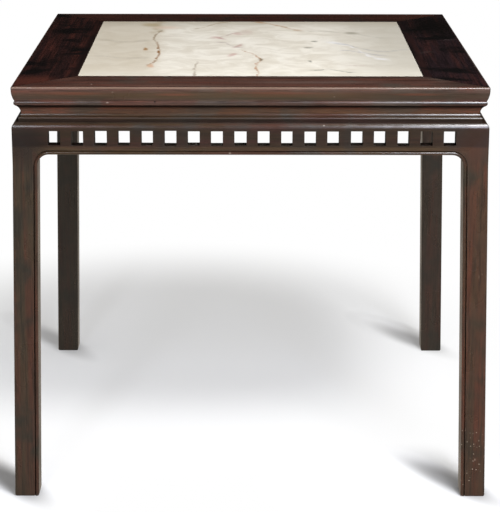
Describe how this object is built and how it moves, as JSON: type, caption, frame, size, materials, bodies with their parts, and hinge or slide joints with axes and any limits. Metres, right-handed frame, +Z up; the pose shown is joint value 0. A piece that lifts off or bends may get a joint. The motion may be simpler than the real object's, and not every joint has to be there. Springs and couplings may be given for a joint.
{
  "type": "chinese eight immortals table",
  "caption": "Square waisted hardwood table for eight, with a marble panel in a mitred frame and a row of square piercings in each apron.",
  "frame": {"origin": "on the floor, under the middle of the top", "axes": "+Z up, -Y towards the front; the four sides are alike"},
  "size_m": [0.9826, 0.9826, 0.865],
  "materials": {
    "frame_wood": "waxed dark hardwood",
    "leg_wood": "waxed dark hardwood",
    "inner_wood": "plain planed hardwood",
    "peg_wood": "split hardwood or bamboo pegs",
    "marble": "honed cream marble with veins"
  },
  "bodies": {
    "root": {"top_rail_front": "frame_wood", "top_rail_right": "frame_wood", "top_rail_back": "frame_wood", "top_rail_left": "frame_wood", "marble_panel": "marble", "cross_brace_1": "inner_wood", "cross_brace_2": "inner_wood", "cross_brace_3": "inner_wood", "waist_front": "frame_wood", "waist_right": "frame_wood", "waist_back": "frame_wood", "waist_left": "frame_wood", "base_moulding_front": "frame_wood", "base_moulding_right": "frame_wood", "base_moulding_back": "frame_wood", "base_moulding_left": "frame_wood", "apron_front": "frame_wood", "apron_right": "frame_wood", "apron_back": "frame_wood", "apron_left": "frame_wood", "leg_front_left": "leg_wood", "leg_front_right": "leg_wood", "leg_back_left": "leg_wood", "leg_back_right": "leg_wood", "frame_pegs": "peg_wood", "brace_pegs": "peg_wood", "moulding_pegs": "peg_wood"}
  },
  "joints": []
}
